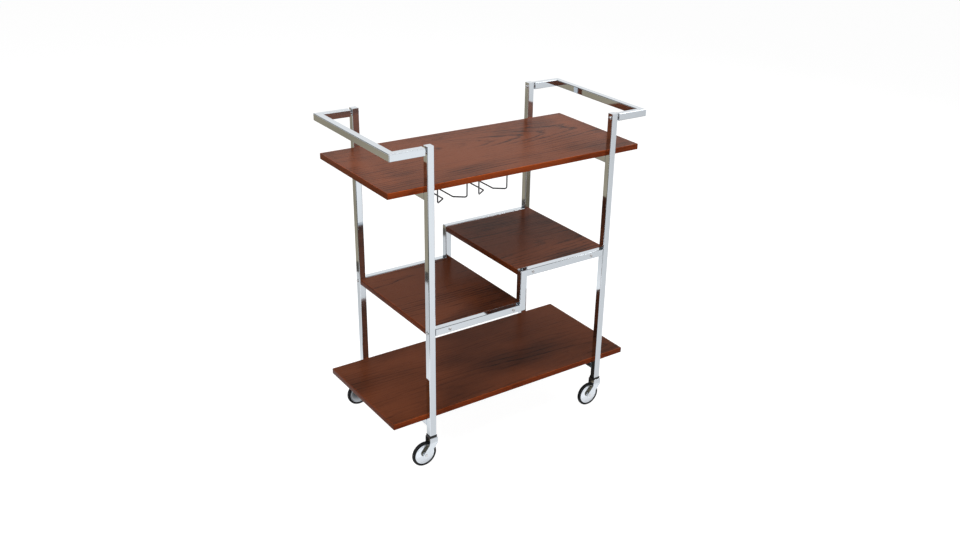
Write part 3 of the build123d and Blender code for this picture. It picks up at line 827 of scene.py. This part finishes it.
class CART_OT_shelves(Operator):
    """Veneered boards with eased, lipped edges"""

    bl_idname = "cart.shelves"
    bl_label = "Shelves"

    def execute(self, context):
        look, sizes = context.scene.cart_finishes, context.scene.cart_sizes
        pitch = sizes.ring_pitch
        ends = veneer_finish(
            "end_lipping", look.end_light, look.end_dark, pitch, *EDGE_GRAIN, turn=math.pi / 2)
        for name, (tone, edge_tone, grain) in BOARDS.items():
            stain = (tone * Vector(look.stain_light), tone * Vector(look.stain_dark))
            lipping = (edge_tone * Vector(look.edge_light), edge_tone * Vector(look.edge_dark))
            # Arris tones: stain rubbed thin, lightened further as a painted highlight
            rubbed_and_highlit = (edge_tone * Vector(look.arris_light), edge_tone * Vector(look.arris_dark))
            low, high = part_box(name)
            board = start_piece(
                name + "_board", bpy.ops.mesh.primitive_cube_add, size=1, location=(low + high) / 2,
                scale=high - low)
            edit(board, "FACE", lambda face: True)
            bpy.ops.mesh.bevel(
                offset=sizes.arris, offset_type="OFFSET", segments=ARRIS_STEPS, profile=0.5)
            done()
            edit(board, "FACE", lambda face: abs(face.normal.z) > FLAT)
            bpy.ops.mesh.inset(thickness=sizes.lip, use_individual=True)
            done()
            bpy.ops.object.shade_smooth_by_angle(angle=SMOOTH_ANGLE)
            for material in (
                    veneer_finish(name + "_veneer", *stain, pitch, *grain),
                    veneer_finish(name + "_lipping", *lipping, pitch, *EDGE_GRAIN),
                    ends,
                    veneer_finish(name + "_arris", *rubbed_and_highlit, pitch, *EDGE_GRAIN)):
                board.data.materials.append(material)
            largest = max(polygon.area for polygon in board.data.polygons)
            for polygon in board.data.polygons:
                polygon.material_index = board_slot(polygon, largest)
            stand_in(board, name, "cart")
        return {"FINISHED"}


CARD_TURN = math.radians(-37.7)             # in line with the camera's view

# Cards over the floor: middle with its height, size, turn, tint
CARDS = {
    "left_card": ((-1.173, 2.807, 0.002), (2.81, 5.0), CARD_TURN, "warm_card"),
    "left_rim": ((-0.772, 1.103, 0.003), (0.09, 2.2), CARD_TURN, "dark_card"),
    "right_card": ((1.297, -0.940, 0.002), (0.375, 1.10), -CARD_TURN, "olive_card"),
    "camera_card": ((-1.78, -1.97, 0.002), (2.8, 3.4), CARD_TURN, "dark_card"),
}
PATCH_SCALE = 1.2               # waves per metre of the darker patches on those cards
PATCH_FADE = (0.3, 0.7, 0.0, 0.3)           # noise where a patch starts and is whole, and its shade

# White cards whose falloffs paint light and shade on the floor as the chrome shows it, with where each
# starts and ends to change its light, and its light there
FRONT_CARD = ((1.43, -1.75, 0.001), (3.6, 2.9))
FRONT_DEPTH = (-0.95, -0.25, 1.12, 0.87)    # along the view
FRONT_SIDE = (1.20, 2.40, 1.0, 0.86)        # along X, as shares of that light
SIDE_CARD = ((-0.461, 0.704, 0.001), (0.89, 1.45), CARD_TURN)
SIDE_ACROSS = (-0.95, -0.35, 0.76, 1.17)    # across the view
UNDER_MIDDLE = (0.0, 0.0, 0.002)
UNDER_CARD = (0.84, 0.48)       # card of painted shadow under the bottom shelf
UNDER_SOFT = (0.12, 0.10)       # width of its soft border
FLOOR_WIDTH = 60.0
FLOOR_ROUGHNESS = 0.9

# Parts of a direction in the surroundings between which their light changes
CEILING_RISE = (0.44, 0.58)     # upwards
LEFT_RISE = (-0.80, -0.45)      # across the view
CAMERA_RISE = (-0.75, -0.25)    # along the view

# Lamps by their power property: place
LAMPS = {
    "overhead": (0.0, -0.5, 3.2),
    "left": (-2.8, -0.4, 2.8),
    "right": (2.8, 0.4, 2.8),
    "low": (-0.8, -3.2, 1.8),
}
LAMP_SIZE = 2.0
LAMP_AIM = (0.0, 0.0, 0.5)


def view_axes(studio):
    """Level directions across the view and along it."""
    turn = Matrix.Rotation(studio.azimuth, 3, "Z")
    return turn @ Vector((1, 0, 0)), turn @ Vector((0, 1, 0))


class CART_OT_stage(Operator):
    """Floor, light and camera"""

    bl_idname = "cart.stage"
    bl_label = "Stage"

    def execute(self, context):
        studio, look = context.scene.cart_studio, context.scene.cart_finishes
        self.set_floor(look, studio)
        self.set_cards(look, studio)
        self.set_surroundings(studio)
        self.set_lamps(studio)
        self.set_camera(studio)
        context.scene.view_settings.view_transform = "Standard"
        return {"FINISHED"}

    def set_floor(self, look, studio):
        """Wide white floor that glows a little, so that shadows stay faint."""
        floor = start_piece("studio_floor", bpy.ops.mesh.primitive_plane_add, size=FLOOR_WIDTH)
        material, tree, shader = new_finish("floor_finish")
        shader.inputs["Base Color"].default_value = (*look.floor, 1)
        shader.inputs["Roughness"].default_value = FLOOR_ROUGHNESS
        shader.inputs["Specular IOR Level"].default_value = 0
        shader.inputs["Emission Color"].default_value = WHITE
        path = tree.nodes.new("ShaderNodeLightPath").outputs
        glow = fade(tree, path["Is Diffuse Ray"], 0, 1, studio.glow, studio.glow * studio.fill)
        glow = fade(tree, path["Is Camera Ray"], 0, 1, glow, studio.whiteness)
        tree.links.new(glow, shader.inputs["Emission Strength"])
        floor.data.materials.append(material)

    def set_cards(self, look, studio):
        """Cards flat on the floor that only show in the chrome."""
        for name, (middle, size, turn, tint) in CARDS.items():
            tree = self.new_card(name, middle, size, turn)
            patches = fade(tree, noise(tree, place(tree), PATCH_SCALE, detail=1), *PATCH_FADE)
            self.light_card(tree, blend(tree, patches, (*getattr(look, tint), 1), BLACK))
        view_side, view_depth = view_axes(studio)
        # Painted light and shade: the floor in the chrome darkens towards the cart and to the right, and
        # is brighter than white towards the camera
        tree = self.new_card("front_card", *FRONT_CARD)
        where = place(tree)
        depth = fade(tree, along(tree, where, view_depth), *FRONT_DEPTH)
        side = fade(tree, along(tree, where, (1, 0, 0)), *FRONT_SIDE)
        self.light_card(tree, WHITE, times(tree, depth, side))
        # Painted shade: the floor in the chrome darkens far on the left, and is brighter than white
        # nearer the cart
        tree = self.new_card("side_card", *SIDE_CARD)
        across = along(tree, place(tree), view_side)
        self.light_card(tree, WHITE, fade(tree, across, *SIDE_ACROSS))
        # Painted shadow: dark under the bottom shelf, fading at its border, for the floor's shade under
        # the cart as the chrome shows it
        tree = self.new_card("under_card", UNDER_MIDDLE, UNDER_CARD)
        axes = put(tree, "ShaderNodeSeparateXYZ", {"Vector": place(tree)}).outputs
        dark = 1.0
        for axis, width, soft in zip("XY", UNDER_CARD, UNDER_SOFT):
            part = fade(tree, calc(tree, "ABSOLUTE", axes[axis]), width / 2 - soft, width / 2, 1.0, 0.0)
            dark = times(tree, part, dark)
        self.light_card(tree, blend(tree, dark, WHITE, (*look.under_card, 1)))

    def new_card(self, name, middle, size, turn=0.0):
        """Card that neither the camera nor the light sees, and its material's empty tree."""
        card = start_piece(
            name, bpy.ops.mesh.primitive_plane_add, size=1, location=middle, rotation=(0, 0, turn),
            scale=(*size, 1))
        for ray in ("camera", "diffuse", "shadow", "transmission", "volume_scatter"):
            setattr(card, "visible_" + ray, False)
        material = bpy.data.materials.new(name)
        material.use_nodes = True
        material.node_tree.nodes.clear()
        card.data.materials.append(material)
        return material.node_tree

    def light_card(self, tree, shown, level=1.0):
        """Makes a card's material shine in a colour."""
        light = tree.nodes.new("ShaderNodeEmission")
        feed(tree, light.inputs["Color"], shown)
        feed(tree, light.inputs["Strength"], level)
        put(tree, "ShaderNodeOutputMaterial", {"Surface": light.outputs[0]})

    def set_surroundings(self, studio):
        """Bright surroundings that darken overhead, far on the left and behind the camera."""
        world = bpy.data.worlds.new("studio")
        bpy.context.scene.world = world
        world.use_nodes = True
        tree = world.node_tree
        background = next(node for node in tree.nodes if node.type == "BACKGROUND")
        heading = tree.nodes.new("ShaderNodeTexCoord").outputs["Generated"]
        side, depth = (along(tree, heading, axis) for axis in view_axes(studio))
        height = along(tree, heading, (0, 0, 1))
        level = fade(tree, height, *CEILING_RISE, studio.backdrop, studio.ceiling)
        level = fade(tree, side, *LEFT_RISE, studio.shade, level)
        level = fade(tree, depth, *CAMERA_RISE, studio.dusk, level)
        path = tree.nodes.new("ShaderNodeLightPath").outputs
        level = times(tree, level, fade(tree, path["Is Diffuse Ray"], 0, 1, 1.0, studio.fill))
        level = calc(tree, "MAXIMUM", level, path["Is Camera Ray"])
        tree.links.new(level, background.inputs["Strength"])
        background.inputs["Color"].default_value = WHITE

    def set_lamps(self, studio):
        """Large soft lamps, aimed at the cart."""
        for name, stand in LAMPS.items():
            bpy.ops.object.light_add(type="AREA", location=stand)
            lamp = bpy.context.object
            lamp.name = name + "_lamp"
            lamp.data.energy = getattr(studio, name)
            lamp.data.size = LAMP_SIZE
            aim = Vector(LAMP_AIM) - lamp.location
            lamp.rotation_euler = aim.to_track_quat("-Z", "Y").to_euler()
            lamp.visible_camera = False

    def set_camera(self, studio):
        """Camera at the photograph's angle."""
        camera = bpy.data.cameras.new("camera")
        camera.lens = camera.sensor_width * studio.focal_pixels / FRAME_WIDTH
        camera.shift_x = (FRAME_WIDTH / 2 - studio.axis_x) / FRAME_WIDTH
        camera.shift_y = (studio.axis_y - FRAME_HEIGHT / 2) / FRAME_WIDTH
        stand = bpy.data.objects.new("camera", camera)
        bpy.context.scene.collection.objects.link(stand)
        turn = Matrix.Rotation(studio.azimuth, 4, "Z")
        tilt = Matrix.Rotation(math.pi / 2 - studio.elevation, 4, "X")
        stand.matrix_world = (
            Matrix.Translation(studio.camera_place) @ turn @ tilt @ Matrix.Rotation(studio.roll, 4, "Z"))
        bpy.context.scene.camera = stand


class CART_PT_sidebar(Panel):
    """Sidebar with the cart's steps"""

    bl_label = "Bar Cart"
    bl_idname = "CART_PT_sidebar"
    bl_space_type = "VIEW_3D"
    bl_region_type = "UI"
    bl_category = "Bar Cart"

    def draw(self, context):
        for step in STEPS:
            self.layout.operator(step.bl_idname)


STEPS = (
    CART_OT_effects, CART_OT_tubes, CART_OT_fasteners, CART_OT_hangers, CART_OT_casters, CART_OT_tyres,
    CART_OT_wheels, CART_OT_shelves, CART_OT_stage)
GROUPS = {"cart_sizes": CartSizes, "cart_finishes": CartFinishes, "cart_studio": CartStudio}


def register():
    for group in (*GROUPS.values(), *STEPS, CART_PT_sidebar):
        bpy.utils.register_class(group)
    for name, group in GROUPS.items():
        setattr(bpy.types.Scene, name, PointerProperty(type=group))


def unregister():
    for name in GROUPS:
        delattr(bpy.types.Scene, name)
    for group in reversed((*GROUPS.values(), *STEPS, CART_PT_sidebar)):
        bpy.utils.unregister_class(group)


def main():
    register()
    for step in STEPS:
        family, name = step.bl_idname.split(".")
        getattr(getattr(bpy.ops, family), name)()


if __name__ == "__main__":
    main()
